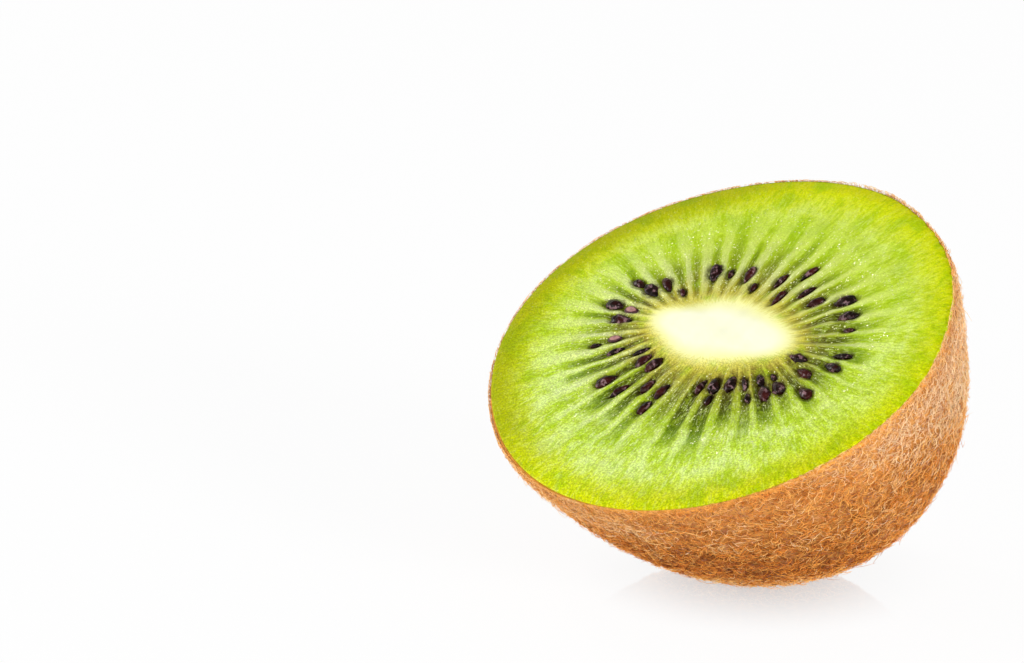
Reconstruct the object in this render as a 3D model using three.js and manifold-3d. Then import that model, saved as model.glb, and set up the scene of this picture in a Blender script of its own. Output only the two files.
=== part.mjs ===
// Half a kiwi fruit, cut across its middle and lying on its round end, so that the cut face leans
// forward. Millimetres, +Z up. X runs along the wide axis of the cut face, which leans towards -Y,
// and the origin is the middle of the small flat spot that the half rests on.
import * as THREE from 'three';
import Module from 'manifold-3d';
import { mergeVertices } from 'three/addons/utils/BufferGeometryUtils.js';

// ---- driving dimensions ------------------------------------------------------------------------
const fruit = {
  wideHalf: 27.2,        // middle of the cut face to its skin, along the wide axis
  narrowHalf: 23.9,      // and along the narrow one
  halfLength: 29.0,      // cut face to round end
  waistExponent: 1.55,   // how soon the sides draw in below the cut face, 2 as on an ellipse
  endExponent: 2.2,      // how blunt the round end is, again 2 as on an ellipse
  endDrift: [0.7, 1.1],  // how far the round end lies off the middle, wide and narrow
  lean: 32.8,            // degrees between the cut face and level
  restDepth: 0.4,        // how much of the round end the rest spot takes off
};

// Shallow waves round the outline: waves in a turn, share of the radius, direction in degrees.
const outlineWaves = [
  { count: 1, share: 0.004, at: 45 },
  { count: 2, share: 0.007, at: 48 },
  { count: 3, share: 0.007, at: 58 },
  { count: 4, share: 0.005, at: -10 },
];

const skin = {
  thickness: 0.4,
  edgeDrop: 0.35,        // how far the skin's cut edge lies below the flesh
  fleshRounding: 1.1,    // width of the band in which the flesh rounds down to the skin
};

const core = {
  wideHalf: 9.3,
  narrowHalf: 4.3,
  offset: [0.1, 0.9],    // its middle from the middle of the cut face
  rise: 0.12,            // how far the firm core stands above the softer flesh
};

const locules = {
  count: 38,             // seed chambers, seen as wedges that fan out from the core
  depth: 0.24,           // how far their soft floor lies below the walls between them
  reach: 0.62,           // how far out they run, as a share of the way from core to rim
};

// Seeds lie in three rings, each a share of the way from the core's edge to the rim. A ring has
// one letter for each locule: L large, m middling, s standing on edge, c cut through by the knife,
// t only its tip shows.
const seedRings = [
  { share: 0.135, map: 'm.......s.t....t........smL...sLLsmt..' },
  { share: 0.245, map: '......ms.s.mtL..mL.cL.cs...mm..t.tLL.m' },
  { share: 0.350, map: 'ms.tLL..s........m.L..t..Ls.m.......L.' },
];
const seedSizes = {      // length along the wedge, width across it, height in all
  L: [2.4, 1.35, 1.1],
  m: [2.15, 1.0, 0.95],
  s: [2.2, 0.65, 0.8],
  c: [1.9, 1.1, 0.6],
  t: [1.3, 0.6, 0.6],
};
const seedSink = 0.12;   // how far a seed's middle lies below the flesh

// ---- how finely the faceted surfaces are divided -----------------------------------------------
const columns = 3 * locules.count;
const coreRings = [0.45, 0.8, 1.0];
const fleshRings = [0.05, 0.1, 0.17, 0.25, 0.34, 0.43, 0.52, 0.62, 0.75, 0.87];
const bodyRingCount = 15;

// ---- directions ---------------------------------------------------------------------------------
const lean = THREE.MathUtils.degToRad(fruit.lean);
const wideAxis = new THREE.Vector3(1, 0, 0);
const narrowAxis = new THREE.Vector3(0, Math.cos(lean), Math.sin(lean));
const outward = new THREE.Vector3(0, -Math.sin(lean), Math.cos(lean));

// A repeatable draw from 0 to 1 for two whole numbers.
function draw(first, second) {
  const mixed = Math.sin(first * 12.9898 + second * 78.233) * 43758.5453;
  return mixed - Math.floor(mixed);
}

// ---- the fruit's own shape ----------------------------------------------------------------------
// Wide and narrow coordinates, and height above the cut face, turned into a point of the part.
function placed(wide, narrow, height) {
  return new THREE.Vector3()
    .addScaledVector(wideAxis, wide)
    .addScaledVector(narrowAxis, narrow)
    .addScaledVector(outward, height);
}

function outline(angle) {
  let scale = 1;
  for (const wave of outlineWaves) {
    scale += wave.share * Math.cos(wave.count * (angle - THREE.MathUtils.degToRad(wave.at)));
  }
  return [fruit.wideHalf * scale * Math.cos(angle), fruit.narrowHalf * scale * Math.sin(angle)];
}

// A point of the skin, where depth runs from 0 at the cut face to 1 at the round end.
function bodyPoint(angle, depth) {
  const radius = (1 - depth ** fruit.waistExponent) ** (1 / fruit.endExponent);
  const [wide, narrow] = outline(angle);
  const [driftWide, driftNarrow] = fruit.endDrift;
  return placed(wide * radius + driftWide * depth, narrow * radius + driftNarrow * depth,
    -fruit.halfLength * depth);
}

function corePoint(angle, radius) {
  const wide = core.offset[0] + core.wideHalf * radius * Math.cos(angle);
  const narrow = core.offset[1] + core.narrowHalf * radius * Math.sin(angle);
  return [wide, narrow];
}

// A place on the flesh, where share runs from 0 at the core's edge to 1 at the inside of the skin.
function fleshPlace(angle, share) {
  const [coreWide, coreNarrow] = corePoint(angle, 1);
  const [skinWide, skinNarrow] = outline(angle);
  const inner = 1 - skin.thickness / Math.hypot(skinWide, skinNarrow);
  return [
    THREE.MathUtils.lerp(coreWide, skinWide * inner, share),
    THREE.MathUtils.lerp(coreNarrow, skinNarrow * inner, share),
  ];
}

// The relief of the flesh: grooved by the locules, and rounded down to the skin.
function fleshHeight(angle, share) {
  const turns = angle / (2 * Math.PI) * locules.count;
  const floor = 0.5 + 0.5 * Math.cos(2 * Math.PI * turns);
  const start = THREE.MathUtils.smoothstep(share, 0, 0.1);
  const end = 1 - THREE.MathUtils.smoothstep(share, 0.6 * locules.reach, locules.reach);
  const toSkin = (1 - share) * (fruit.narrowHalf - core.narrowHalf);
  const rounded = Math.max(0, 1 - toSkin / skin.fleshRounding);
  return -locules.depth * floor * start * end - 0.5 * skin.edgeDrop * rounded ** 2;
}

function fleshPoint(angle, share) {
  const [wide, narrow] = fleshPlace(angle, share);
  return placed(wide, narrow, fleshHeight(angle, share));
}

// The lowest point of the whole round end, found by looking all over it.
function lowestPoint() {
  const steps = 360;
  let lowest = new THREE.Vector3(0, 0, Infinity);
  for (let across = 0; across < steps; across += 1) {
    for (let down = 0; down < steps; down += 1) {
      const point = bodyPoint(2 * Math.PI * across / steps, down / steps);
      if (point.z < lowest.z) lowest = point;
    }
  }
  return lowest;
}

// ---- building the solid -------------------------------------------------------------------------
// Rings of points from the first pole to the last one, closed into one skin.
function closedRings(firstPole, rings, lastPole) {
  const points = [firstPole, ...rings.flat(), lastPole];
  const last = points.length - 1;
  const faces = [];
  for (let column = 0; column < columns; column += 1) {
    const next = (column + 1) % columns;
    faces.push(0, 1 + column, 1 + next);
    for (let ring = 0; ring + 1 < rings.length; ring += 1) {
      const upper = 1 + ring * columns;
      const lower = upper + columns;
      faces.push(upper + column, lower + column, lower + next);
      faces.push(upper + column, lower + next, upper + next);
    }
    const end = 1 + (rings.length - 1) * columns;
    faces.push(end + column, last, end + next);
  }
  const geometry = new THREE.BufferGeometry().setFromPoints(points);
  geometry.setIndex(faces);
  return geometry;
}

function ringOf(pointAt) {
  return Array.from({ length: columns }, (_, column) => pointAt(2 * Math.PI * column / columns));
}

function bodyGeometry() {
  const rings = [];
  for (const radius of coreRings) {
    const height = core.rise * (1 - THREE.MathUtils.smoothstep(radius, 0.5, 1));
    rings.push(ringOf((angle) => placed(...corePoint(angle, radius), height)));
  }
  for (const share of fleshRings) rings.push(ringOf((angle) => fleshPoint(angle, share)));
  const rounding = skin.fleshRounding / (fruit.narrowHalf - core.narrowHalf);
  rings.push(ringOf((angle) => fleshPoint(angle, 1 - rounding)));
  rings.push(ringOf((angle) => fleshPoint(angle, 1)));
  rings.push(ringOf((angle) => bodyPoint(angle, skin.edgeDrop / fruit.halfLength)));
  for (let step = 1; step < bodyRingCount; step += 1) {
    const turn = Math.PI / 2 * step / bodyRingCount;
    rings.push(ringOf((angle) => bodyPoint(angle, Math.sin(turn) ** (2 / fruit.waistExponent))));
  }
  return closedRings(placed(...core.offset, core.rise), rings, bodyPoint(0, 1));
}

// One seed: a flattened drop whose narrow end points at the core.
function seedGeometry(ring, locule, letter) {
  const jitter = (topic) => draw(locule + 1, 10 * ring + topic) - 0.5;
  const size = 1 + 0.16 * jitter(1);
  const [length, width, height] = seedSizes[letter].map((value) => value * size);
  const geometry = new THREE.SphereGeometry(0.5, 6, 4);
  geometry.rotateZ(-Math.PI / 2);
  const corners = geometry.getAttribute('position');
  for (let corner = 0; corner < corners.count; corner += 1) {
    const taper = 1 + 0.5 * corners.getX(corner);
    corners.setXYZ(corner, length * corners.getX(corner), width * taper * corners.getY(corner),
      height * taper * corners.getZ(corner));
  }
  const angle = 2 * Math.PI * (locule + 0.3 * jitter(2)) / locules.count;
  const share = seedRings[ring].share + 0.03 * jitter(3) + 0.03 * (ring - 1) * Math.cos(angle) ** 2;
  const [wide, narrow] = fleshPlace(angle, share);
  const [farWide, farNarrow] = fleshPlace(angle, share + 0.1);
  const along = placed(farWide - wide, farNarrow - narrow, 0).normalize();
  along.applyAxisAngle(outward, 0.35 * jitter(4));
  const across = outward.clone().cross(along);
  const frame = new THREE.Matrix4().makeBasis(along, across, outward);
  frame.setPosition(placed(wide, narrow, fleshHeight(angle, share) - seedSink));
  return geometry.applyMatrix4(frame);
}

const wasm = await Module();
wasm.setup();

function solidOf(geometry) {
  const bare = geometry.clone();
  bare.deleteAttribute('normal');
  bare.deleteAttribute('uv');
  const merged = mergeVertices(bare);
  const vertProperties = merged.getAttribute('position').array;
  const triVerts = new Uint32Array(merged.getIndex().array);
  return new wasm.Manifold(new wasm.Mesh({ numProp: 3, vertProperties, triVerts }));
}

function geometryOf(solid) {
  const mesh = solid.getMesh();
  const geometry = new THREE.BufferGeometry();
  geometry.setAttribute('position', new THREE.BufferAttribute(mesh.vertProperties, 3));
  geometry.setIndex(new THREE.BufferAttribute(mesh.triVerts, 1));
  geometry.computeVertexNormals();
  return geometry;
}

function kiwiHalf() {
  let solid = solidOf(bodyGeometry());
  seedRings.forEach(({ map }, ring) => {
    [...map].forEach((letter, locule) => {
      if (letter !== '.') solid = solid.add(solidOf(seedGeometry(ring, locule, letter)));
    });
  });
  const foot = lowestPoint();
  const floorSize = 2 * fruit.halfLength;
  const floor = new THREE.BoxGeometry(floorSize, floorSize, floorSize);
  floor.translate(foot.x, foot.y, foot.z + fruit.restDepth - floorSize / 2);
  const geometry = geometryOf(solid.subtract(solidOf(floor)));
  geometry.translate(-foot.x, -foot.y, -foot.z - fruit.restDepth);
  return geometry;
}

// ---- the part -----------------------------------------------------------------------------------
const flesh = new THREE.MeshStandardMaterial({ color: 0xa9c93a, roughness: 0.4, metalness: 0 });
const half = new THREE.Mesh(kiwiHalf(), flesh);
half.name = 'kiwi_half';

const part = new THREE.Group();
part.add(half);
export default part;
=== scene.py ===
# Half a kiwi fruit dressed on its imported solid: wet flesh with rays and seeds, thin skin, matted fuzz.
# Metres, in the frame of the solid: X along the wide axis of the cut face, which leans towards -Y.
import math

import bpy
import numpy as np
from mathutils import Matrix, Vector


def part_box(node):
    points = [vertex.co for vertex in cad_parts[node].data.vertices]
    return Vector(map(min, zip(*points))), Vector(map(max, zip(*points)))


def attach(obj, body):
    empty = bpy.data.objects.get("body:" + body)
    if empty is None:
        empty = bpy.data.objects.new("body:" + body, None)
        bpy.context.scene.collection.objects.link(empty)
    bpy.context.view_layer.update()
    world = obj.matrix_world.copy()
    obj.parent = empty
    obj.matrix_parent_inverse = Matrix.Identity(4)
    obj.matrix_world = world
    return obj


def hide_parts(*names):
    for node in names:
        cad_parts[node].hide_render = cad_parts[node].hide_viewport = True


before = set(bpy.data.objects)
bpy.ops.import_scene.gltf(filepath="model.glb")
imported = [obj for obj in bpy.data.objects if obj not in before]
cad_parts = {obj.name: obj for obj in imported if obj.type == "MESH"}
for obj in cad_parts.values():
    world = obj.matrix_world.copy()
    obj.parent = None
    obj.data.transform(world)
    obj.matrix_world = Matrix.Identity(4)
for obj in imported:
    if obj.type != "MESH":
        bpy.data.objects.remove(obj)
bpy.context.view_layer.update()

mm = 0.001
wholeTurn = 2 * math.pi

fruit = {
    "wideHalf": 27.2 * mm,  # middle of the cut face to its skin, along the wide axis
    "narrowHalf": 23.9 * mm,
    "halfLength": 29.0 * mm,
    "waistExponent": 1.55,
    "endExponent": 2.2,
    "endDrift": (0.7 * mm, 1.1 * mm),
    "lean": math.radians(32.8),
    "restDepth": 0.4 * mm,
    "waves": ((1, 0.004, 45), (2, 0.007, 48), (3, 0.007, 58), (4, 0.005, -10)),
    "skin": 0.4 * mm,
    "edgeDrop": 0.35 * mm,  # how far the cut edge of the skin lies below the flesh
    "pile": 0.35 * mm,  # thickness of the matted fuzz, inside the solid's outer face
    "overhang": 0.4 * mm,  # how far the skin shrinks back under the rim around one angle
    "overhangAt": math.radians(42),
}
core = {
    "wideHalf": 9.3 * mm,
    "narrowHalf": 4.3 * mm,
    "offset": (0.1 * mm, 0.9 * mm),
    "rise": 0.12 * mm,
    "edge": 0.985,  # share of the core at which its cream ends, uneven as its waves say
    "waves": ((1, 0.055, 115), (2, 0.08, 45), (4, 0.065, 3), (5, 0.03, 34)),
}
locules = {"count": 38, "depth": 0.24 * mm, "reach": 0.62}

lean = fruit["lean"]
wideAxis = np.array((1.0, 0.0, 0.0))
narrowAxis = np.array((0.0, math.cos(lean), math.sin(lean)))
outward = np.array((0.0, -math.sin(lean), math.cos(lean)))
cutMiddle = np.zeros(3)


# The fruit's shape, the same as the solid's.
def draw(first, second):  # a repeatable draw from 0 to 1
    mixed = math.sin(first * 12.9898 + second * 78.233) * 43758.5453
    return mixed - math.floor(mixed)


def smooth(value, low, high):
    share = np.clip((value - low) / (high - low), 0, 1)
    return share * share * (3 - 2 * share)


def placed(wide, narrow, height):
    wide, narrow, height = np.broadcast_arrays(wide, narrow, height)
    flat = wide[..., None] * wideAxis + narrow[..., None] * narrowAxis
    return flat + height[..., None] * outward + cutMiddle


def waviness(angle, waves):
    return 1 + sum(share * np.cos(count * (angle - math.radians(at))) for count, share, at in waves)


def outline(angle):
    scale = waviness(angle, fruit["waves"])
    return fruit["wideHalf"] * scale * np.cos(angle), fruit["narrowHalf"] * scale * np.sin(angle)


def bodyPlace(angle, depth, inset=0.0):  # depth runs from 0 at the cut to 1 at the round end
    depth = np.clip(depth, 0, 1)
    radius = (1 - depth ** fruit["waistExponent"]) ** (1 / fruit["endExponent"])
    wide, narrow = outline(angle)
    driftWide, driftNarrow = fruit["endDrift"]
    shrink = 1 - inset / fruit["narrowHalf"]
    length = fruit["halfLength"] - inset
    wide = wide * radius * shrink + driftWide * depth
    narrow = narrow * radius * shrink + driftNarrow * depth
    return placed(wide, narrow, -length * depth)


def overhang(angle):  # 1 where the flesh stands over its skin, 0 elsewhere
    return smooth(np.cos(angle - fruit["overhangAt"]), 0.79, 0.97)


def skinPlace(angle, depth, under=0.0):  # the bare skin, under the pile of the fuzz
    pile = fruit["pile"] * smooth(depth, 0.005, 0.2)
    shrunk = fruit["overhang"] * overhang(angle) * (1 - smooth(depth, 0.25, 0.6))
    return bodyPlace(angle, depth, inset=under + pile + shrunk)


def corePlace(angle, radius):
    wide = core["offset"][0] + core["wideHalf"] * radius * np.cos(angle)
    narrow = core["offset"][1] + core["narrowHalf"] * radius * np.sin(angle)
    return wide, narrow


def fleshPlace(angle, share):  # share runs from 0 at the core's edge to 1 at the inside of the skin
    coreWide, coreNarrow = corePlace(angle, 1)
    skinWide, skinNarrow = outline(angle)
    inner = 1 - fruit["skin"] / np.hypot(skinWide, skinNarrow)
    wide = coreWide + (skinWide * inner - coreWide) * share
    narrow = coreNarrow + (skinNarrow * inner - coreNarrow) * share
    return wide, narrow


def findCutMiddle():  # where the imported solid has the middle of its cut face
    low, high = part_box("kiwi_half")
    angles, depths = np.meshgrid(np.linspace(0, wholeTurn, 361), np.linspace(0, 1, 361))
    reach = bodyPlace(angles, depths).reshape(-1, 3)
    least, most = reach.min(axis=0), reach.max(axis=0)
    return np.array((
        (low.x + high.x - least[0] - most[0]) / 2,
        high.y - most[1],
        low.z - fruit["restDepth"] - least[2],
    ))


cutMiddle = findCutMiddle()
print("cut middle at", [round(float(value / mm), 2) for value in cutMiddle], "mm")


def deselectAll():
    bpy.ops.object.select_all(action="DESELECT")


def spokeDisc(name, columns, rings):  # a spoke spun into a disc of radius 1
    deselectAll()
    bpy.ops.mesh.primitive_plane_add(size=1, location=(0.5, 0.5, 0))
    disc = bpy.context.object
    disc.name = name
    disc.data.name = name
    bpy.ops.object.transform_apply(location=True, rotation=True, scale=True)
    for vertex in disc.data.vertices:
        vertex.select = vertex.co.y > 0.5
    for edge in disc.data.edges:
        edge.select = False
    for polygon in disc.data.polygons:
        polygon.select = False
    bpy.ops.object.mode_set(mode="EDIT")
    bpy.ops.mesh.select_mode(type="VERT")
    bpy.ops.mesh.delete(type="VERT")
    bpy.ops.mesh.select_all(action="SELECT")
    coarse = max(factor for factor in (9, 3, 2) if rings % factor == 0)  # cut in two rounds
    bpy.ops.mesh.subdivide(number_cuts=coarse - 1)
    bpy.ops.mesh.select_all(action="SELECT")
    bpy.ops.mesh.subdivide(number_cuts=rings // coarse - 1)
    bpy.ops.mesh.select_all(action="SELECT")
    bpy.ops.mesh.spin(steps=columns, angle=wholeTurn, center=(0, 0, 0), axis=(0, 0, 1))
    bpy.ops.mesh.select_all(action="SELECT")
    bpy.ops.mesh.remove_doubles(threshold=1e-5)
    bpy.ops.object.mode_set(mode="OBJECT")
    return disc


def readPoints(piece):
    points = np.empty(len(piece.data.vertices) * 3)
    piece.data.vertices.foreach_get("co", points)
    return points.reshape(-1, 3)


def writePoints(piece, points):
    piece.data.vertices.foreach_set("co", np.ascontiguousarray(points, dtype=np.float32).ravel())
    piece.data.update()


def keepVector(piece, name, values):
    attribute = piece.data.attributes.new(name, "FLOAT_VECTOR", "POINT")
    attribute.data.foreach_set("vector", np.ascontiguousarray(values, dtype=np.float32).ravel())


def keepNumber(piece, name, values):
    attribute = piece.data.attributes.new(name, "FLOAT", "POINT")
    attribute.data.foreach_set("value", np.ascontiguousarray(values, dtype=np.float32))


def closeUp(piece, threshold=1e-6):  # merges the poles, turns faces outwards and shades smooth
    deselectAll()
    piece.select_set(True)
    bpy.context.view_layer.objects.active = piece
    bpy.ops.object.mode_set(mode="EDIT")
    bpy.ops.mesh.select_all(action="SELECT")
    bpy.ops.mesh.remove_doubles(threshold=threshold)
    bpy.ops.mesh.normals_make_consistent(inside=False)
    bpy.ops.object.mode_set(mode="OBJECT")
    bpy.ops.object.shade_smooth()


def finishPiece(piece, material, replacesSolid=False):
    piece.data.materials.clear()
    piece.data.materials.append(material)
    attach(piece, "root")
    if replacesSolid:
        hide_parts("kiwi_half")
    piece.data.calc_loop_triangles()
    print(piece.name, len(piece.data.loop_triangles), "triangles")


def tint(red, green, blue):  # a screen colour, 0 to 255, as the shader's own numbers
    shares = [value / 255 for value in (red, green, blue)]
    linear = [share / 12.92 if share <= 0.04045 else ((share + 0.055) / 1.055) ** 2.4 for share in shares]
    return (*linear, 1.0)


def newMaterial(name):
    material = bpy.data.materials.new(name)
    material.use_nodes = True
    tree = material.node_tree
    return material, tree, tree.nodes["Principled BSDF"]


def feed(tree, value, socket):
    if isinstance(value, bpy.types.NodeSocket):
        tree.links.new(value, socket)
    else:
        socket.default_value = value


def calc(tree, operation, first, second=0.0):
    node = tree.nodes.new("ShaderNodeMath")
    node.operation = operation
    feed(tree, first, node.inputs[0])
    feed(tree, second, node.inputs[1])
    return node.outputs[0]


def span(tree, value, low, high, toLow=0.0, toHigh=1.0):  # a smooth step from low to high
    node = tree.nodes.new("ShaderNodeMapRange")
    node.interpolation_type = "SMOOTHSTEP"
    feed(tree, value, node.inputs["Value"])
    feed(tree, low, node.inputs["From Min"])
    feed(tree, high, node.inputs["From Max"])
    feed(tree, toLow, node.inputs["To Min"])
    feed(tree, toHigh, node.inputs["To Max"])
    return node.outputs[0]


def blendColour(tree, share, first, second, kind="MIX"):
    node = tree.nodes.new("ShaderNodeMix")
    node.data_type = "RGBA"
    node.blend_type = kind
    feed(tree, share, node.inputs[0])
    feed(tree, first, node.inputs[6])
    feed(tree, second, node.inputs[7])
    return node.outputs[2]


def noise(tree, vector, scale, detail=2.0, roughness=0.5):
    node = tree.nodes.new("ShaderNodeTexNoise")
    node.inputs["Scale"].default_value = scale
    node.inputs["Detail"].default_value = detail
    node.inputs["Roughness"].default_value = roughness
    tree.links.new(vector, node.inputs["Vector"])
    return node.outputs[0]


def cells(tree, vector, scale):
    node = tree.nodes.new("ShaderNodeTexVoronoi")
    node.inputs["Scale"].default_value = scale
    tree.links.new(vector, node.inputs["Vector"])
    return node.outputs["Distance"]


def ramp(tree, value, stops):
    node = tree.nodes.new("ShaderNodeValToRGB")
    elements = node.color_ramp.elements
    while len(elements) > 1:
        elements.remove(elements[-1])
    elements[0].position = stops[0][0]
    elements[0].color = stops[0][1]
    for place, colour in stops[1:]:
        elements.new(place).color = colour
    feed(tree, value, node.inputs[0])
    return node.outputs[0]


def attributeOf(tree, name, output):
    node = tree.nodes.new("ShaderNodeAttribute")
    node.attribute_name = name
    return node.outputs[output]


def combine(tree, x, y, z):
    node = tree.nodes.new("ShaderNodeCombineXYZ")
    for value, socket in zip((x, y, z), node.inputs):
        feed(tree, value, socket)
    return node.outputs[0]


def separate(tree, vector):
    node = tree.nodes.new("ShaderNodeSeparateXYZ")
    tree.links.new(vector, node.inputs[0])
    return node.outputs


def objectPlace(tree):
    return tree.nodes.new("ShaderNodeTexCoord").outputs["Object"]


def bump(tree, height, distance, strength, under=None):
    node = tree.nodes.new("ShaderNodeBump")
    node.inputs["Distance"].default_value = distance
    feed(tree, strength, node.inputs["Strength"])
    tree.links.new(height, node.inputs["Height"])
    if under is not None:
        tree.links.new(under, node.inputs["Normal"])
    return node.outputs[0]


seeds = {
    # one letter for each locule: L large, m middling, s on edge, c cut through, t only its tip shows
    "rings": (
        (0.135, "m.......s.t....t........smL...sLLsmt.."),
        (0.245, "......ms.s.mtL..mL.cL.cs...mm..t.tLL.m"),
        (0.350, "ms.tLL..s........m.L..t..Ls.m.......L."),
    ),
    "sizes": {  # length along the wedge, width across it, height
        "L": (2.4 * mm, 1.35 * mm, 1.1 * mm),
        "m": (2.15 * mm, 1.0 * mm, 0.95 * mm),
        "s": (2.2 * mm, 0.65 * mm, 0.8 * mm),
        "c": (1.9 * mm, 1.1 * mm, 0.6 * mm),
        "t": (1.3 * mm, 0.6 * mm, 0.6 * mm),
    },
    "sink": 0.12 * mm,
    "taper": 0.5,
    "pointed": 0.15,
    "columns": 20,
    "rows": 14,
    "coat": (tint(20, 5, 3), tint(62, 18, 16)),
    # painted reflection: pale patches on the wet coat
    "paintedSheen": tint(146, 112, 118),
    # painted shade in the pits
    "shadedPits": tint(16, 3, 1),
    "cutFace": (tint(182, 128, 122), tint(54, 22, 28)),  # its middle and its rim
    "stains": tint(112, 66, 70),
}


def loculeHeight(angle, share):
    floor = 0.5 + 0.5 * np.cos(angle * locules["count"])
    start = smooth(share, 0, 0.1)
    end = 1 - smooth(share, 0.6 * locules["reach"], locules["reach"])
    toSkin = (1 - share) * (fruit["narrowHalf"] - core["narrowHalf"])
    rounded = np.clip(1 - toSkin / (1.1 * mm), 0, 1)
    return -locules["depth"] * floor * start * end - 0.5 * fruit["edgeDrop"] * rounded ** 2


def seedPlaces():
    found = []
    for ring, (ringShare, letters) in enumerate(seeds["rings"]):
        for locule, letter in enumerate(letters):
            if letter == ".":
                continue
            jitter = [draw(locule + 1, 10 * ring + topic) - 0.5 for topic in range(7)]
            angle = wholeTurn * (locule + 0.3 * jitter[2]) / locules["count"]
            share = ringShare + 0.03 * jitter[3] + 0.03 * (ring - 1) * math.cos(angle) ** 2
            wide, narrow = fleshPlace(angle, share)
            farWide, farNarrow = fleshPlace(angle, share + 0.1)
            heading = math.atan2(farNarrow - narrow, farWide - wide) + 0.35 * jitter[4]
            size = [value * (1 + 0.16 * jitter[1]) for value in seeds["sizes"][letter]]
            found.append({
                "letter": letter,
                "wide": float(wide),
                "narrow": float(narrow),
                "height": float(loculeHeight(angle, share)) - seeds["sink"],
                "heading": heading,
                "size": size,
                "tip": 0.25 * jitter[5],
                "roll": 0.5 * jitter[6],
            })
    return found


seedList = seedPlaces()
print(len(seedList), "seeds")


flesh = {
    "columns": 570,
    "coreRings": 27,
    "faceRings": 123,
    "underRings": 12,
    "pocket": 0.22 * mm,  # how deep the flesh sinks beside a seed
    "swell": 0.07 * mm,  # gentle unevenness of the cut
    "thinSkinAt": math.radians(140),  # the side on which the flesh runs out to the very edge
    # tints by their place, from 0 at the core's edge to 1 at the skin
    "ground": (
        (0.0, tint(212, 202, 84)),
        (0.08, tint(186, 176, 60)),
        (0.2, tint(156, 158, 50)),
        (0.36, tint(168, 190, 46)),
        (0.5, tint(184, 208, 62)),
        (0.65, tint(196, 221, 76)),
        (0.78, tint(202, 220, 66)),
        (0.88, tint(208, 221, 34)),
        (0.95, tint(209, 219, 4)),
        (1.0, tint(204, 208, 10)),
    ),
    "wedges": (
        (0.04, tint(92, 62, 22)),
        (0.16, tint(54, 40, 10)),
        (0.34, tint(62, 70, 8)),
        (0.5, tint(96, 128, 6)),
        (0.65, tint(136, 178, 8)),
    ),
    "walls": (
        (0.0, tint(226, 220, 130)),
        (0.12, tint(212, 212, 128)),
        (0.3, tint(218, 226, 162)),
        (0.6, tint(218, 236, 152)),
    ),
    "cream": (tint(251, 251, 218), tint(245, 243, 158)),  # in the middle of the core and at its edge
    "clouds": (tint(160, 196, 4), tint(214, 236, 150)),
    "sugar": (tint(222, 240, 158), tint(158, 192, 2)),
    # the colour of the painted highlights, the wet glints
    "glint": tint(238, 244, 176),
}


def seedNearness(wide, narrow):  # 1 at a seed's edge and under it, 0 a seed's width away
    nearest = np.full(wide.shape, 9.0)
    for seed in seedList:
        cosine, sine = math.cos(seed["heading"]), math.sin(seed["heading"])
        right, up = wide - seed["wide"], narrow - seed["narrow"]
        length, width, _ = seed["size"]
        along = (right * cosine + up * sine) / (0.5 * length + 0.25 * mm)
        across = (-right * sine + up * cosine) / (0.5 * width + 0.3 * mm)
        nearest = np.minimum(nearest, np.hypot(along, across))
    return 1 - smooth(nearest, 0.75, 1.35)


def distanceFromCore(wide, narrow):  # in millimetres, below 0 inside the cream
    across, up = wide - core["offset"][0], narrow - core["offset"][1]
    angle = np.arctan2(up / core["narrowHalf"], across / core["wideHalf"])
    edge = np.hypot(core["wideHalf"] * np.cos(angle), core["narrowHalf"] * np.sin(angle))
    return (np.hypot(across, up) - edge * core["edge"] * waviness(angle, core["waves"])) / mm


def unevenness(wide, narrow):
    across, up = wide / mm, narrow / mm
    return (
        np.sin(0.61 * across + 0.35 * up + 1.0) * np.sin(0.27 * across - 0.72 * up + 0.4)
        + 0.5 * np.sin(1.7 * across + 0.9 * up) * np.sin(1.3 * up - 1.1 * across + 2.0)
    )


def rimReach(angle):  # how far the rim runs out over the cut edge of the skin, torn where it overhangs
    torn = np.sin(57 * angle) + np.sin(91 * angle + 1) + np.sin(143 * angle + 2) * np.sin(23 * angle)
    reach = 0.1 + 0.26 * smooth(np.cos(angle - flesh["thinSkinAt"]), -0.1, 0.6)
    return (reach * (1 - overhang(angle)) + 0.05 * overhang(angle) * torn) * mm


def makeFlesh():
    rings = flesh["coreRings"] + flesh["faceRings"] + flesh["underRings"]
    piece = spokeDisc("kiwi_flesh", flesh["columns"], rings)
    unit = readPoints(piece)
    ring = np.hypot(unit[:, 0], unit[:, 1]) * rings
    angle = np.arctan2(unit[:, 1], unit[:, 0])
    radius = np.clip(ring / flesh["coreRings"], 0, 1)
    share = np.clip((ring - flesh["coreRings"]) / flesh["faceRings"], 0, 1)
    coreWide, coreNarrow = corePlace(angle, radius)
    wide, narrow = fleshPlace(angle, share)
    inCore = ring < flesh["coreRings"]
    wide = np.where(inCore, coreWide, wide)
    narrow = np.where(inCore, coreNarrow, narrow)
    near = seedNearness(wide, narrow)
    fade = 1 - smooth(share, 0.9, 1)
    height = loculeHeight(angle, share) + flesh["swell"] * unevenness(wide, narrow) * fade
    height = height + core["rise"] * np.where(inCore, 1 - smooth(radius, 0.5, 1), 0)
    height = height - flesh["pocket"] * near * ~inCore
    points = placed(wide, narrow, height)
    under = ring > flesh["coreRings"] + flesh["faceRings"] + 0.5
    step = (ring - flesh["coreRings"] - flesh["faceRings"]) / flesh["underRings"]
    depth = np.sin(np.clip(step, 0, 1) * math.pi / 2) ** (2 / fruit["waistExponent"])
    points[under] = skinPlace(angle, depth, under=0.2 * mm)[under]
    spread = rimReach(angle) * smooth(share, 0.96, 1) * ~under
    points += spread[:, None] * (np.cos(angle)[:, None] * wideAxis + np.sin(angle)[:, None] * narrowAxis)
    writePoints(piece, points)
    outFromCore = np.where(inCore, radius - 1, share)
    keepVector(piece, "ray", np.stack((np.cos(angle), np.sin(angle), outFromCore), axis=1))
    keepNumber(piece, "fromCore", distanceFromCore(wide, narrow))
    keepNumber(piece, "seedNear", near)
    closeUp(piece)
    return piece


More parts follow.
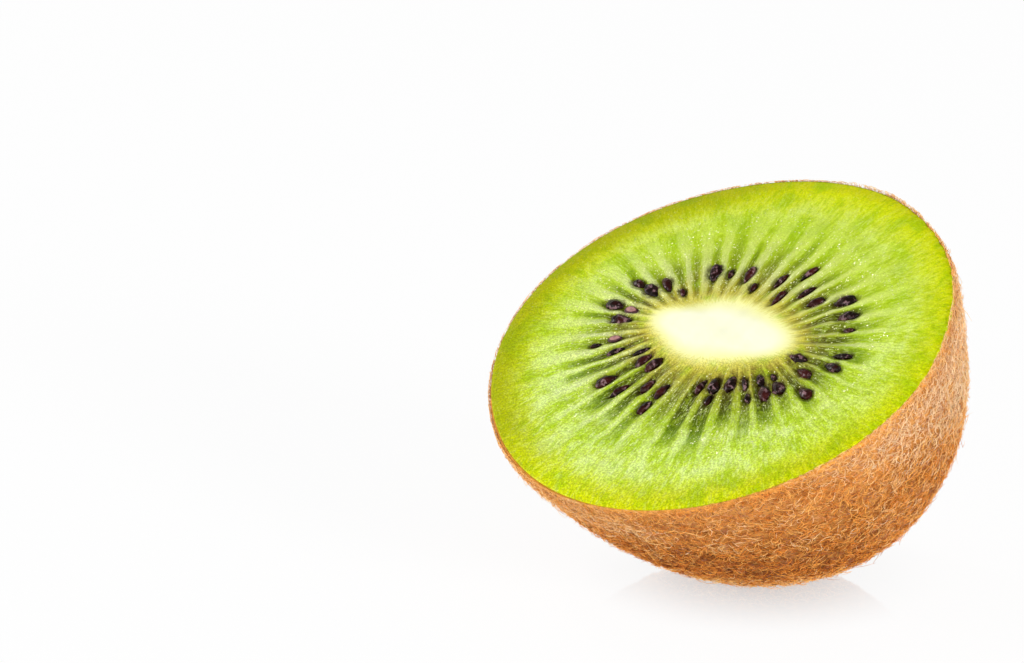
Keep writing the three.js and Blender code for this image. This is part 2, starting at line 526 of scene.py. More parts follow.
def fleshMaterial():
    material, tree, shader = newMaterial("wetGreenFlesh")
    cosine, sine, share = separate(tree, attributeOf(tree, "ray", "Vector"))
    fromCore = attributeOf(tree, "fromCore", "Fac")
    place = objectPlace(tree)
    count = locules["count"]

    def centred(value, reach):
        return calc(tree, "MULTIPLY", calc(tree, "SUBTRACT", value, 0.5), reach)

    def times(*values):
        product = values[0]
        for value in values[1:]:
            product = calc(tree, "MULTIPLY", product, value)
        return product

    def plus(first, second):
        return calc(tree, "ADD", first, second)

    fibres = noise(tree, combine(tree, cosine, sine, times(share, 0.12)), 42.0, 3.0, 0.6)
    fineFibres = noise(tree, combine(tree, cosine, sine, times(share, 0.2)), 110.0, 2.0, 0.6)
    coreFibres = noise(tree, combine(tree, cosine, sine, times(share, 0.25)), 52.0, 2.0, 0.55)
    clouds = noise(tree, place, 330.0, 3.0, 0.55)
    mottle = noise(tree, place, 1300.0, 3.0, 0.6)
    feathers = noise(tree, combine(tree, cosine, sine, times(share, 0.3)), 60.0, 3.0, 0.6)
    grain = noise(tree, place, 5200.0, 2.0, 0.6)

    # one dark wedge a locule, each with its own reach and depth of colour, pale walls between
    wander = noise(tree, combine(tree, cosine, sine, times(share, 0.3)), 5.0, 3.0)
    turns = times(calc(tree, "ARCTAN2", sine, cosine), count / wholeTurn)
    turns = plus(turns, centred(wander, 1.0))
    wave = calc(tree, "COSINE", times(turns, wholeTurn))
    wave = plus(wave, plus(centred(mottle, 1.1), centred(fibres, 1.0)))
    own = times(calc(tree, "ROUND", turns), wholeTurn / count)
    ownCosine = calc(tree, "COSINE", own)
    ownSine = calc(tree, "SINE", own)
    ownReach = noise(tree, combine(tree, ownCosine, ownSine, 1.3), 6.0, 0.0)
    ownDark = noise(tree, combine(tree, ownCosine, ownSine, 7.7), 7.0, 0.0)
    reach = plus(span(tree, ownReach, 0.3, 0.7, 0.5, 0.7), centred(clouds, 0.2))
    # walls are broad at the top and left, wedges at the bottom and right
    leaning = plus(times(sine, 0.42), times(cosine, -0.36))
    narrowing = plus(span(tree, share, 0.3, 0.68, 0.1, 0.6), leaning)
    wedge = span(tree, calc(tree, "SUBTRACT", wave, narrowing), -0.65, 0.3)
    end = span(tree, calc(tree, "SUBTRACT", reach, share), 0.0, 0.2)
    dark = times(wedge, span(tree, fromCore, 0.7, 2.3), end, span(tree, ownDark, 0.3, 0.65, 0.6, 1.0))
    dark = times(dark, span(tree, leaning, -0.3, 0.5, 1.0, 0.8))
    opened = times(span(tree, leaning, -0.05, -0.3), span(tree, share, 0.26, 0.14), 0.3)
    dark = times(dark, calc(tree, "SUBTRACT", 1.0, opened))
    wall = span(tree, calc(tree, "SUBTRACT", wave, narrowing), -0.5, -1.4)
    wall = times(wall, span(tree, share, 0.85, 0.5))
    richness = span(tree, leaning, -0.3, 0.5, 1.0, 0.5)
    wall = times(wall, span(tree, share, 0.04, 0.14, 0.4, 0.95), span(tree, leaning, -0.2, 0.5, 1.0, 0.75))

    # the rim's green is deepest on the left and palest in front
    band = plus(share, times(span(tree, share, 0.55, 0.85), plus(times(cosine, -0.05), times(sine, 0.03))))
    ground = ramp(tree, band, flesh["ground"])
    deep = ramp(tree, share, flesh["wedges"])
    pale = ramp(tree, share, flesh["walls"])

    # clouds and sugar over the ground
    colour = blendColour(tree, span(tree, clouds, 0.46, 0.68, 0.0, 0.65), ground, flesh["clouds"][0])
    outer = times(span(tree, share, 0.4, 0.56), span(tree, share, 0.96, 0.7))
    cloudy = times(span(tree, clouds, 0.52, 0.34), outer, 0.7)
    colour = blendColour(tree, times(cloudy, richness), colour, flesh["clouds"][1])
    sugar = times(span(tree, feathers, 0.5, 0.64), span(tree, share, 0.3, 0.5))
    sugar = times(sugar, span(tree, share, 0.96, 0.75, 0.15, 0.5))
    colour = blendColour(tree, times(sugar, richness), colour, flesh["sugar"][0])
    hollow = times(span(tree, feathers, 0.48, 0.36), span(tree, share, 0.3, 0.5), 0.5)
    colour = blendColour(tree, hollow, colour, flesh["sugar"][1])

    # the wedges, the walls between them and pale threads
    deep = blendColour(tree, span(tree, mottle, 0.46, 0.66, 0.0, 0.6), deep, tint(140, 164, 34))
    colour = blendColour(tree, times(dark, 0.94), colour, deep)
    colour = blendColour(tree, times(wall, span(tree, fineFibres, 0.3, 0.55, 0.6, 1.0)), colour, pale)
    threads = times(span(tree, fineFibres, 0.54, 0.66), span(tree, share, 0.05, 0.12))
    threads = times(threads, span(tree, share, 0.7, 0.3), 0.5)
    colour = blendColour(tree, threads, colour, tint(214, 224, 150))

    # clearer flesh far from the core, streaks and gaps beside it, painted shade round the seeds
    clear = times(span(tree, sine, 0.2, 0.9), span(tree, share, 0.22, 0.4), span(tree, share, 0.78, 0.66))
    colour = blendColour(tree, clear, colour, (0.9, 0.92, 0.55, 1.0), "MULTIPLY")
    sides = times(span(tree, sine, -0.8, -0.3), span(tree, share, 0.38, 0.55))
    colour = blendColour(tree, sides, colour, (0.97, 0.97, 0.7, 1.0), "MULTIPLY")
    streaks = times(span(tree, coreFibres, 0.5, 0.62), span(tree, fromCore, 3.0, 0.3), 0.7)
    colour = blendColour(tree, streaks, colour, tint(218, 212, 104))
    besideCore = times(span(tree, fromCore, 3.6, 0.8), span(tree, fromCore, 0.0, 1.0))
    gaps = times(span(tree, coreFibres, 0.48, 0.36), besideCore, 0.45)
    colour = blendColour(tree, gaps, colour, tint(104, 90, 14))
    # painted shade: the flesh beside each seed is darkened brown, standing in for the shade in the seed's
    # pocket
    near = times(attributeOf(tree, "seedNear", "Fac"), span(tree, mottle, 0.36, 0.6, 0.8, 0.2))
    colour = blendColour(tree, near, colour, tint(66, 46, 16))

    # deeper tints towards the rim
    rim = times(span(tree, share, 0.76, 0.92), span(tree, sine, -0.95, -0.55))
    rim = times(rim, span(tree, sine, 0.9, 0.5, 0.4, 1.0))
    colour = blendColour(tree, rim, colour, (0.97, 0.96, 0.55, 1.0), "MULTIPLY")
    frontRim = times(span(tree, sine, -0.1, -0.5), span(tree, cosine, -0.2, 0.3))
    frontRim = times(frontRim, span(tree, share, 0.8, 0.93))
    colour = blendColour(tree, frontRim, colour, (0.93, 0.89, 0.75, 1.0), "MULTIPLY")
    # painted shade: the left of the rim is darkened, the side turned away from the light
    leftRimShade = times(span(tree, cosine, -0.1, -0.7), span(tree, share, 0.72, 0.95), 0.48)
    colour = blendColour(tree, leftRimShade, colour, tint(130, 136, 0))

    # painted highlights: tiny wet glints in clusters, chosen from the cells of a fine net, painted pale
    # into the colour and also given a glossy coat
    net = tree.nodes.new("ShaderNodeTexVoronoi")
    net.inputs["Scale"].default_value = 4400.0
    tree.links.new(place, net.inputs["Vector"])
    pick, spread, _ = separate(tree, net.outputs["Color"])
    clusters = plus(centred(clouds, 0.9), times(leaning, -0.12))
    chosen = span(tree, calc(tree, "SUBTRACT", pick, clusters), 0.74, 0.8)
    size = span(tree, spread, 0.0, 1.0, 0.18, 0.5)
    fromMiddle = calc(tree, "SUBTRACT", net.outputs["Distance"], size)
    glint = times(chosen, span(tree, fromMiddle, 0.0, -0.14))
    glint = times(glint, span(tree, share, 0.85, 0.5, 0.12, 1.0), span(tree, fromCore, 0.5, 2.0))
    colour = blendColour(tree, times(glint, 0.85), colour, flesh["glint"])

    # the cream of the core, with a ragged edge
    ragged = plus(fromCore, plus(centred(fibres, 1.6), centred(coreFibres, 2.4)))
    creamy = span(tree, ragged, 1.0, -0.9)
    cream = blendColour(tree, span(tree, fromCore, -2.8, 0.3), *flesh["cream"])
    colour = blendColour(tree, creamy, colour, cream)
    speck = times(span(tree, grain, 0.32, 0.68, -1.0, 1.0), span(tree, creamy, 0.0, 1.0, 0.22, 0.006))
    speck = times(speck, span(tree, sine, 0.8, -0.6, 0.45, 1.15))
    lit = tree.nodes.new("ShaderNodeHueSaturation")
    feed(tree, colour, lit.inputs["Color"])
    feed(tree, plus(speck, 1.0), lit.inputs["Value"])
    tree.links.new(lit.outputs[0], shader.inputs["Base Color"])

    rough = span(tree, creamy, 0.0, 1.0, 1.0, 0.12)  # the core is smooth
    relief = bump(tree, fineFibres, 0.1 * mm, times(rough, 0.5))
    relief = bump(tree, mottle, 0.12 * mm, times(rough, 0.6), relief)
    relief = bump(tree, grain, 0.05 * mm, times(rough, 0.8), relief)
    tree.links.new(relief, shader.inputs["Normal"])
    shader.inputs["Roughness"].default_value = 0.4
    shader.inputs["IOR"].default_value = 1.36
    shader.inputs["Specular IOR Level"].default_value = 0.05
    shader.inputs["Subsurface Weight"].default_value = 0.2
    shader.inputs["Subsurface Radius"].default_value = (1.0, 1.0, 0.35)
    shader.inputs["Subsurface Scale"].default_value = 0.4 * mm
    tree.links.new(times(glint, 0.8), shader.inputs["Coat Weight"])
    shader.inputs["Coat Roughness"].default_value = 0.1
    return material


fleshPiece = makeFlesh()
finishPiece(fleshPiece, fleshMaterial(), replacesSolid=True)


def oneSeed(seed):  # a drop lying flat, its narrow end towards the core
    bpy.ops.mesh.primitive_uv_sphere_add(segments=seeds["columns"], ring_count=seeds["rows"], radius=0.5)
    piece = bpy.context.object
    unit = readPoints(piece)
    x, y, z = unit[:, 2], unit[:, 1], unit[:, 0]
    length, width, height = seed["size"]
    taper = (1 + seeds["taper"] * x) * np.clip(1 - 4 * x * x, 0.001, 1) ** seeds["pointed"]
    phase = 40 * seed["tip"]
    pitted = 1 + 0.09 * np.sin(11 * x + 5 * y + phase) * np.sin(9 * y + 7 * z + 2 * phase)
    pitted = pitted + 0.06 * np.sin(5 * x - 6 * z + 3 * phase) * np.cos(6 * y + phase)
    along, across, up = length * x * pitted, width * y * taper * pitted, height * z * taper * pitted
    across = across + 0.3 * seed["roll"] * length * (x * x - 0.12)
    up = up + seed["tip"] * along
    rollCosine, rollSine = math.cos(seed["roll"]), math.sin(seed["roll"])
    across, up = across * rollCosine - up * rollSine, across * rollSine + up * rollCosine
    if seed["letter"] == "c":
        up = np.minimum(up, seeds["sink"] + 0.05 * mm)
    cosine, sine = math.cos(seed["heading"]), math.sin(seed["heading"])
    wide = seed["wide"] + along * cosine - across * sine
    narrow = seed["narrow"] + along * sine + across * cosine
    writePoints(piece, placed(wide, narrow, seed["height"] + up))
    keepNumber(piece, "across", np.hypot(2 * x, 2 * y))
    return piece


def makeSeeds(name, letters):
    deselectAll()
    pieces = [oneSeed(seed) for seed in seedList if seed["letter"] in letters]
    deselectAll()
    for piece in pieces:
        piece.select_set(True)
    bpy.context.view_layer.objects.active = pieces[0]
    bpy.ops.object.join()
    joined = bpy.context.object
    joined.name = name
    joined.data.name = name
    closeUp(joined, 1e-7)
    return joined


def seedMaterial():
    material, tree, shader = newMaterial("darkSeedCoat")
    place = objectPlace(tree)
    shadedPits = cells(tree, place, 3000.0)
    blush = noise(tree, place, 420.0, 2.0)
    paintedSheen = noise(tree, place, 1800.0, 3.0, 0.6)
    colour = blendColour(tree, span(tree, blush, 0.42, 0.66), *seeds["coat"])
    # painted reflection: pale lilac patches stand in for the soft light the wet coat reflects
    colour = blendColour(tree, span(tree, paintedSheen, 0.54, 0.66, 0.0, 0.75), colour, seeds["paintedSheen"])
    # painted shade: the pits are darkened
    colour = blendColour(tree, span(tree, shadedPits, 0.3, 0.12, 0.0, 0.8), colour, seeds["shadedPits"])
    tree.links.new(colour, shader.inputs["Base Color"])
    tree.links.new(bump(tree, shadedPits, 0.1 * mm, 0.9), shader.inputs["Normal"])
    shader.inputs["Roughness"].default_value = 0.3
    shader.inputs["Specular IOR Level"].default_value = 0.1
    shader.inputs["Coat Weight"].default_value = 0.12
    shader.inputs["Coat Roughness"].default_value = 0.08
    return material


def cutSeedMaterial():
    material, tree, shader = newMaterial("cutSeedPink")
    place = objectPlace(tree)
    across = attributeOf(tree, "across", "Fac")
    colour = blendColour(tree, span(tree, across, 0.62, 0.8), *seeds["cutFace"])
    stains = span(tree, noise(tree, place, 2400.0), 0.4, 0.7, 0.0, 0.6)
    colour = blendColour(tree, stains, colour, seeds["stains"])
    tree.links.new(colour, shader.inputs["Base Color"])
    shader.inputs["Roughness"].default_value = 0.4
    shader.inputs["Specular IOR Level"].default_value = 0.3
    return material


finishPiece(makeSeeds("kiwi_seeds", "Lmst"), seedMaterial())
finishPiece(makeSeeds("kiwi_cut_seeds", "c"), cutSeedMaterial())


skin = {
    "columns": 228,
    "rings": 54,
    "wall": 0.34 * mm,
    # painted light and shade: lighter near the cut, darker further from it
    "lower": (tint(138, 76, 22), tint(168, 110, 48)),
    "upper": (tint(186, 120, 54), tint(210, 150, 82)),
    "felt": (tint(218, 152, 70), tint(122, 60, 16)),
    "edge": tint(244, 168, 74),  # light shines through the cut edge
}


def makeSkin():
    piece = spokeDisc("kiwi_skin", skin["columns"], skin["rings"])
    unit = readPoints(piece)
    step = 1 - np.hypot(unit[:, 0], unit[:, 1])
    angle = np.arctan2(unit[:, 1], unit[:, 0])
    depth = np.sin(np.clip(step, 0, 1) * math.pi / 2) ** (2 / fruit["waistExponent"])
    start = fruit["edgeDrop"] / fruit["halfLength"]
    depth = start + (1 - start) * depth
    points = skinPlace(angle, depth)
    points[:, 2] = np.maximum(points[:, 2], 0)
    writePoints(piece, points)
    keepVector(piece, "round", np.stack((np.cos(angle), np.sin(angle), depth), axis=1))
    closeUp(piece)
    wall = piece.modifiers.new("wall", "SOLIDIFY")
    wall.thickness = skin["wall"]
    wall.offset = -1
    bpy.ops.object.modifier_apply(modifier=wall.name)
    return piece


def skinMaterial():
    material, tree, shader = newMaterial("brownSkin")
    place = objectPlace(tree)
    depth = separate(tree, attributeOf(tree, "round", "Vector"))[2]
    patches = noise(tree, place, 260.0, 4.0, 0.6)
    felt = noise(tree, place, 1900.0, 4.0, 0.7)
    lower = blendColour(tree, span(tree, patches, 0.35, 0.65), *skin["lower"])
    upper = blendColour(tree, span(tree, patches, 0.35, 0.65), *skin["upper"])
    # painted light and shade: the skin between the hairs is lighter near the cut and darker further from it
    colour = blendColour(tree, span(tree, depth, 0.12, 0.42), upper, lower)
    colour = blendColour(tree, span(tree, felt, 0.42, 0.68, 0.0, 0.7), colour, skin["felt"][0])
    colour = blendColour(tree, span(tree, felt, 0.45, 0.3, 0.0, 0.8), colour, skin["felt"][1])
    edge = calc(tree, "MULTIPLY", span(tree, depth, 0.04, 0.015), span(tree, felt, 0.35, 0.6, 0.5, 1.0))
    colour = blendColour(tree, edge, colour, skin["edge"])
    tree.links.new(colour, shader.inputs["Base Color"])
    tree.links.new(bump(tree, felt, 0.15 * mm, 0.8), shader.inputs["Normal"])
    shader.inputs["Roughness"].default_value = 0.8
    shader.inputs["Specular IOR Level"].default_value = 0.2
    return material


finishPiece(makeSkin(), skinMaterial())


tintGrid = 32  # hairs take their tint from the cells of a grid on their own map
wildShare = 0.025  # share of the hairs that stand off, in a piece that has wild ones
curvature = 25 * mm  # the hairs bend round a fruit of this radius
clearance = 0.06 * mm  # lowest place of a hair over the ground
knifeAt = math.radians(78)  # where the knife pulled the hairs up over the cut's edge

fuzz = {  # lengths, lifts and thicknesses in mm
    "kiwi_fuzz_under_a": {
        "kind": "under", "hairs": 15000, "rings": 2, "seed": 11,
        "curl": 1.3, "spread": 0.22, "stray": 3.0, "tufts": 0.2,
        "length": (0.6, 1.1), "thick": (0.05, 0.08), "lift": (0.08, 0.2), "end": (0.05, 0.22),
    },
    "kiwi_fuzz_under_b": {
        "kind": "under", "hairs": 15000, "rings": 2, "seed": 12,
        "curl": 1.3, "spread": 0.22, "stray": 3.0, "tufts": 0.2,
        "length": (0.7, 1.2), "thick": (0.05, 0.08), "lift": (0.1, 0.26), "end": (0.08, 0.3),
    },
    "kiwi_fuzz_mat_a": {
        "kind": "mat", "hairs": 10800, "rings": 3, "seed": 13,
        "curl": 1.6, "spread": 0.29, "stray": 1.3, "tufts": 0.8,
        "length": (1.0, 1.7), "thick": (0.045, 0.075), "lift": (0.18, 0.38), "end": (0.12, 0.45),
    },
    "kiwi_fuzz_mat_b": {
        "kind": "mat", "hairs": 10800, "rings": 3, "seed": 14,
        "curl": 1.7, "spread": 0.29, "stray": 1.3, "tufts": 0.8,
        "length": (1.0, 1.9), "thick": (0.045, 0.075), "lift": (0.22, 0.42), "end": (0.15, 0.55),
    },
    "kiwi_fuzz_rim": {
        "kind": "mat", "hairs": 2000, "rings": 3, "seed": 16,
        "curl": 0.9, "spread": 0.2, "stray": 0.6, "tufts": 0.5,
        "length": (0.5, 1.1), "thick": (0.045, 0.07), "lift": (0.08, 0.22), "end": (0.1, 0.3),
        "band": 1.2 * mm,  # how far down from the cut these grow, all combed up towards it
    },
    "kiwi_fuzz_long": {
        "kind": "long", "hairs": 7900, "rings": 4, "seed": 15,
        "curl": 2.0, "spread": 0.3, "stray": 2.0, "tufts": 0.6,
        "length": (1.3, 2.5), "thick": (0.045, 0.07), "lift": (0.28, 0.5), "end": (0.2, 0.8),
        "wild": 0.7,  # how much longer and higher the few are that stand off
    },
}


def surfaceDraw(random, count, tufts, band):  # random places on the skin, their normals and tangents
    columns, rows = 240, 160
    angles = np.linspace(0, wholeTurn, columns + 1)
    steps = np.sin(np.linspace(0, math.pi / 2, rows + 1)) ** (2 / fruit["waistExponent"])
    grid = skinPlace(*np.meshgrid(angles, steps))
    across = grid[:-1, 1:] - grid[:-1, :-1]
    down = grid[1:, :-1] - grid[:-1, :-1]
    area = np.linalg.norm(np.cross(across, down), axis=2)
    area = area * (1 - tufts + tufts * 3 * random.random(area.shape) ** 2)
    area = (area * (steps[:-1, None] * fruit["halfLength"] < band)).ravel()
    chosen = random.choice(area.size, size=count, p=area / area.sum())
    row, column = np.divmod(chosen, columns)
    angle = angles[column] + random.random(count) * wholeTurn / columns
    depth = steps[row] + random.random(count) * (steps[row + 1] - steps[row])
    depth = np.clip(depth, fruit["edgeDrop"] / fruit["halfLength"], 0.9995)
    root = skinPlace(angle, depth)
    tangent = skinPlace(angle + 0.002, depth) - skinPlace(angle - 0.002, depth)
    tangent /= np.linalg.norm(tangent, axis=1, keepdims=True)
    downhill = skinPlace(angle, depth + 0.0004) - skinPlace(angle, depth - 0.0004)
    normal = np.cross(downhill, tangent)
    normal /= np.linalg.norm(normal, axis=1, keepdims=True)
    inward = ((root - cutMiddle) * normal).sum(axis=1) < 0
    normal[inward] *= -1
    return root, normal, tangent


def hairPaths(random, settings, root, normal, tangent):  # middle lines of hairs that lie on the skin
    count, knots = len(root), settings["rings"] + 2
    sideways = np.cross(normal, tangent)
    x, y, z = ((root - cutMiddle) / mm).T

    def between(key):
        low, high = settings[key]
        return (low + (high - low) * random.random(count)) * mm

    length, thick, lift, end = between("length"), between("thick"), between("lift"), between("end")
    wild = 1 + settings.get("wild", 0) * (random.random(count) < wildShare)
    length, lift, end = length * wild, lift * wild, end * wild
    flow = 3 * np.sin(0.5 * x + 0.75 * y + 1) + 3 * np.sin(0.7 * z - 0.5 * y + 2)
    flow = flow + 2 * np.sin(1.3 * x - 1.1 * z)
    if "band" in settings:
        flow = np.sign(sideways @ outward) * math.pi / 2
    heading = flow + random.normal(0, settings["stray"], count)
    curl = random.normal(0, settings["curl"], count)
    hook = random.normal(0, 0.8, count)

    # hairs stop short of the cut, and stand over it a little in front and where the knife pulled them
    around = np.arctan2(((root - cutMiddle) @ narrowAxis) / fruit["narrowHalf"], x * mm / fruit["wideHalf"])
    front = smooth(-np.cos(around - flesh["thinSkinAt"]), -0.2, 0.4)
    frayed = smooth(np.cos(around - knifeAt), 0.95, 0.99)
    brushed = (0.02 + 0.2 * random.random(count) - 0.14 * np.maximum(front, frayed)) * mm

    path = np.empty((knots, count, 3))
    flat = np.zeros((count, 3))
    for knot, share in enumerate(np.linspace(0, 1, knots)):
        height = 4 * (lift - end / 2) * share * (1 - share) + end * share
        height = height - 0.08 * mm * max(0, 1 - 4 * share)
        bend = (flat ** 2).sum(axis=1) / (2 * curvature)
        place = root + flat - normal * bend[:, None]
        over = (place - cutMiddle) @ outward
        place = place - np.maximum(over + brushed, 0)[:, None] * outward
        below = -((place - cutMiddle) @ outward)
        most = (0.04 + 0.2 * frayed) * mm + 0.5 * np.maximum(below, 0)
        path[knot] = place + normal * np.minimum(height, most)[:, None]
        turn = heading + curl * share + hook * math.sin(math.pi * share * 2)
        step = length / (knots - 1)
        flat = flat + (tangent * np.cos(turn)[:, None] + sideways * np.sin(turn)[:, None]) * step[:, None]
    path[..., 2] = np.maximum(path[..., 2], clearance)
    return path, thick, frayed


def hairTubes(path, thick, normal):  # a three-sided tube round each middle line, with pointed ends
    knots, count = path.shape[:2]
    forward = np.gradient(path, axis=0)
    forward /= np.linalg.norm(forward, axis=2, keepdims=True) + 1e-12
    sideA = np.cross(forward, normal)
    sideA /= np.linalg.norm(sideA, axis=2, keepdims=True) + 1e-9
    sideB = np.cross(forward, sideA)
    taper = np.interp(np.linspace(0, 1, knots), (0, 0.15, 0.6, 1), (0.6, 1, 0.85, 0.3))
    points = np.empty((count, 3 * knots - 4, 3))
    points[:, 0] = path[0]
    points[:, -1] = path[-1]
    for knot in range(1, knots - 1):
        radius = (0.5 * thick * taper[knot])[:, None]
        for corner in range(3):
            turnBy = wholeTurn * corner / 3
            offset = sideA[knot] * math.cos(turnBy) + sideB[knot] * math.sin(turnBy)
            points[:, 3 * knot - 2 + corner] = path[knot] + offset * radius
    return points


def hairFaces(rings):  # the faces of one tube, and the place of each corner on the hair's own map
    along = np.linspace(0, 1, rings + 2)
    faces = []
    maps = []
    sides = (0.15, 0.5, 0.85)
    for corner in range(3):
        after = (corner + 1) % 3
        left, right = sides[corner], sides[after]
        faces.append((0, 1 + after, 1 + corner))
        maps.append(((left + right) / 2, along[0], right, along[1], left, along[1]))
        for ring in range(rings - 1):
            low, high = 1 + 3 * ring, 4 + 3 * ring
            vLow, vHigh = along[ring + 1], along[ring + 2]
            faces.append((low + corner, low + after, high + after))
            maps.append((left, vLow, right, vLow, right, vHigh))
            faces.append((low + corner, high + after, high + corner))
            maps.append((left, vLow, right, vHigh, left, vHigh))
        top = 1 + 3 * (rings - 1)
        faces.append((top + corner, top + after, 3 * rings + 1))
        maps.append((left, along[-2], right, along[-2], (left + right) / 2, along[-1]))
    return np.array(faces), np.array(maps).reshape(-1, 2)


def hairTonesWithPaintedLight(random, spread, root, frayed):  # 0 for the darkest hairs and 1 for the palest: painted light and shade, paler high up, on the left and at the top right, darker low down, with patches and a random spread
    x, y, z = ((root - cutMiddle) / mm).T
    patch = np.sin(0.55 * x + 0.4 * z + 1) * np.sin(0.5 * y - 0.45 * z)
    patch = patch + 0.7 * np.sin(1.1 * x - 0.9 * y) * np.sin(1.2 * z + 2)
    # painted shade low down and painted light higher up
    tone = 0.22 + 0.12 * patch + 0.28 * smooth(z, -21, -14) + 0.36 * smooth(z, -10, -2)
    # painted light on the left
    tone = tone + 0.4 * smooth(-x, -14, -2) * smooth(z, -19, -15)
    tone = tone + 0.3 * frayed + 0.36 * smooth(-z, 21.5, 24)
    tone = tone + spread * random.normal(0, 1, len(root))
    # painted light at the top right
    tone = 0.75 * tone + 0.36 * smooth(x, 16, 25) * smooth(z, -12, -3)
    return tone + (0.52 - tone) * 0.65 * smooth((root - cutMiddle) @ outward / mm, -2, -0.4)


def makeFuzz(name, settings):
    random = np.random.default_rng(settings["seed"])
    count, rings = settings["hairs"], settings["rings"]
    band = settings.get("band", fruit["halfLength"])
    root, normal, tangent = surfaceDraw(random, count, settings["tufts"], band)
    path, thick, frayed = hairPaths(random, settings, root, normal, tangent)
    points = hairTubes(path, thick, normal)
    faces, maps = hairFaces(rings)
    perHair = points.shape[1]
    allFaces = (faces[None] + np.arange(count)[:, None, None] * perHair).reshape(-1)
    # each hair's painted light and shade chooses its tint
    tone = hairTonesWithPaintedLight(random, settings["spread"], root, frayed)
    cell = np.stack((np.clip(tone, 0, 0.999) * tintGrid // 1, random.integers(0, tintGrid, count)), axis=1)
    inset = np.array((0.1, 0.06)) + maps * np.array((0.8, 0.88))
    allMaps = ((cell[:, None, :] + inset[None]) / tintGrid).reshape(-1)

    mesh = bpy.data.meshes.new(name)
    mesh.vertices.add(count * perHair)
    mesh.vertices.foreach_set("co", points.astype(np.float32).ravel())
    mesh.loops.add(allFaces.size)
    mesh.loops.foreach_set("vertex_index", allFaces.astype(np.int32))
    mesh.polygons.add(allFaces.size // 3)
    mesh.polygons.foreach_set("loop_start", np.arange(0, allFaces.size, 3, dtype=np.int32))
    mesh.polygons.foreach_set("use_smooth", np.ones(allFaces.size // 3, dtype=bool))
    layer = mesh.uv_layers.new(name="OFBake")
    layer.data.foreach_set("uv", allMaps.astype(np.float32))
    mesh.update(calc_edges=True)
    mesh.validate()
    piece = bpy.data.objects.new(name, mesh)
    bpy.context.scene.collection.objects.link(piece)
    return piece


fuzzTints = {  # how much darker the roots are, their own colour and painted shade in the pile, then the tints from the darkest hairs to the palest; the under hairs are tinted darker and the long ones paler, painted shade deep in the pile and painted light on top
    "under": ((0.45, 0.34, 0.26, 1.0), (
        tint(84, 36, 6), tint(158, 84, 30), tint(232, 150, 74), tint(252, 210, 156),
        tint(253, 220, 176),
    )),
    "mat": ((0.64, 0.5, 0.38, 1.0), (
        tint(136, 64, 16), tint(236, 142, 50), tint(255, 184, 92), tint(255, 212, 150),
        tint(255, 226, 184),
    )),
    "long": ((0.76, 0.64, 0.5, 1.0), (
        tint(196, 106, 32), tint(250, 160, 62), tint(255, 192, 98), tint(255, 214, 152),
        tint(255, 228, 186),
    )),
}


def fuzzMaterial(kind):
    material, tree, shader = newMaterial(kind + "Fuzz")
    chart = tree.nodes.new("ShaderNodeUVMap")
    chart.uv_map = "OFBake"
    scaled = tree.nodes.new("ShaderNodeVectorMath")
    scaled.operation = "SCALE"
    scaled.inputs["Scale"].default_value = tintGrid
    tree.links.new(chart.outputs[0], scaled.inputs[0])
    x, y, _ = separate(tree, scaled.outputs[0])
    pick = tree.nodes.new("ShaderNodeTexWhiteNoise")
    pick.noise_dimensions = "2D"
    column = calc(tree, "FLOOR", x)
    tree.links.new(combine(tree, column, calc(tree, "FLOOR", y), 0.0), pick.inputs["Vector"])
    rootShade, tints = fuzzTints[kind]
    stops = [(index / (len(tints) - 1), colour) for index, colour in enumerate(tints)]
    whole = ramp(tree, calc(tree, "DIVIDE", column, tintGrid - 1), stops)
    redder = span(tree, pick.outputs["Value"], 0.5, 1.0, 0.0, 0.35)
    whole = blendColour(tree, redder, whole, tint(220, 118, 58))
    if kind == "under":
        blush = span(tree, noise(tree, objectPlace(tree), 420.0, 3.0), 0.48, 0.62, 0.0, 0.6)
        whole = blendColour(tree, blush, whole, tint(196, 134, 104))
    # painted shade in part: the roots are darkened, partly their own colour and partly the shade among the
    # hairs
    shadedRoots = blendColour(tree, 1.0, whole, rootShade, "MULTIPLY")
    colour = blendColour(tree, span(tree, calc(tree, "FRACT", y), 0.1, 0.55, 0.2, 1.0), shadedRoots, whole)
    tree.links.new(colour, shader.inputs["Base Color"])
    shader.inputs["Roughness"].default_value = 0.5
    shader.inputs["Specular IOR Level"].default_value = 0.1
    shader.inputs["Subsurface Weight"].default_value = 0.12
    shader.inputs["Subsurface Radius"].default_value = (1.0, 0.7, 0.4)
    shader.inputs["Subsurface Scale"].default_value = 0.15 * mm
    return material


fuzzMaterials = {kind: fuzzMaterial(kind) for kind in fuzzTints}
for name, settings in fuzz.items():
    finishPiece(makeFuzz(name, settings), fuzzMaterials[settings["kind"]])


studio = {
    "floorHalf": 3.0,
    "floorTint": (0.08, 0.08, 0.08, 1),
    "floorGlow": 0.93,
    "mirror": 0.48,  # share of the floor's polish under the fruit
    "mirrorEnds": 21 * mm,  # how far from the rest spot it has faded away
    "wallLight": 1.0,  # the white room low down, all round
    "ceilingLight": 0.25,
    "wallTop": (0.38, 0.58),  # where the wall starts and ends to turn into the ceiling
    "aim": 0.02,  # height of the place that the lights look at
    "lights": {  # place, size, power
        "key_light": ((0.95, 0.02, 0.28), 0.3, 7.6),
        "glint_light": ((-0.6, 0.05, 0.66), 0.1, 0.6),
        "left_light": ((-0.8, -0.58, 0.12), 0.2, 4.9),
        "front_light": ((0.2, -0.95, 0.16), 0.3, 2.7),
    },
}
view = {
    "distance": 0.38,  # camera to the middle of the cut face
    "azimuth": math.radians(45.1),  # towards +X from straight in front
    "elevation": math.radians(16.0),
    "heading": math.radians(48.38),  # where the camera itself looks back from
    "pitch": math.radians(15.92),
    "lens": 129.5,
}


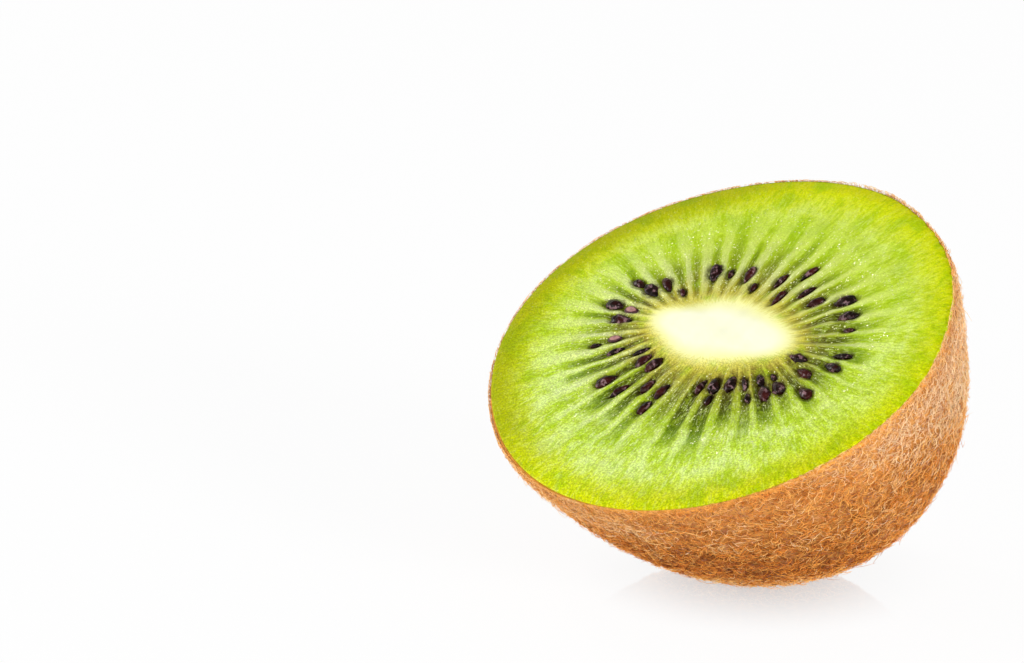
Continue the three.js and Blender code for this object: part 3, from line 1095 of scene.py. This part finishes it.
def makeFloor():
    deselectAll()
    bpy.ops.mesh.primitive_plane_add(size=2 * studio["floorHalf"], location=(0, 0, 0))
    floor = bpy.context.object
    floor.name = "studio_floor"
    material, tree, shader = newMaterial("paleFloor")
    shader.inputs["Base Color"].default_value = studio["floorTint"]
    shader.inputs["Emission Color"].default_value = (1, 1, 1, 1)
    shader.inputs["Emission Strength"].default_value = studio["floorGlow"]
    shader.inputs["Specular IOR Level"].default_value = 0.0
    x, y, _ = separate(tree, objectPlace(tree))
    away = calc(tree, "SQRT", calc(tree, "ADD", calc(tree, "MULTIPLY", x, x), calc(tree, "MULTIPLY", y, y)))
    polish = tree.nodes.new("ShaderNodeBsdfGlossy")
    polish.inputs["Roughness"].default_value = 0.04
    polished = tree.nodes.new("ShaderNodeMixShader")
    tree.links.new(span(tree, away, studio["mirrorEnds"], 0.0, 0.0, studio["mirror"]), polished.inputs[0])
    tree.links.new(shader.outputs[0], polished.inputs[1])
    tree.links.new(polish.outputs[0], polished.inputs[2])
    tree.links.new(polished.outputs[0], tree.nodes["Material Output"].inputs["Surface"])
    floor.data.materials.append(material)


def makeLights():
    world = bpy.data.worlds.new("studio")
    world.use_nodes = True
    tree = world.node_tree
    height = separate(tree, tree.nodes.new("ShaderNodeTexCoord").outputs["Generated"])[2]
    level = span(tree, height, *studio["wallTop"], studio["wallLight"], studio["ceilingLight"])
    tree.nodes["Background"].inputs["Color"].default_value = (1, 1, 1, 1)
    tree.links.new(level, tree.nodes["Background"].inputs["Strength"])
    bpy.context.scene.world = world
    for name, (place, size, power) in studio["lights"].items():
        bpy.ops.object.light_add(type="AREA", location=place)
        light = bpy.context.object
        light.name = name
        light.data.size = size
        light.data.energy = power
        across, deep, up = place
        tilt = math.atan2(math.hypot(across, deep), up - studio["aim"])
        light.rotation_euler = (tilt, 0, math.atan2(across, -deep))


def makeCamera():
    azimuth, elevation = view["azimuth"], view["elevation"]
    level = math.cos(elevation)
    back = np.array((math.sin(azimuth) * level, -math.cos(azimuth) * level, math.sin(elevation)))
    place = cutMiddle + view["distance"] * back
    turned = (math.pi / 2 - view["pitch"], 0, view["heading"])
    bpy.ops.object.camera_add(location=place.tolist(), rotation=turned)
    camera = bpy.context.object
    camera.name = "studio_camera"
    camera.data.lens = view["lens"]
    camera.data.sensor_width = 36
    camera.data.clip_start = 0.01
    bpy.context.scene.camera = camera


makeFloor()
makeLights()
makeCamera()
print("floor, lights and camera set")
bpy.context.scene.view_settings.view_transform = "Standard"
bpy.context.scene.view_settings.look = "None"
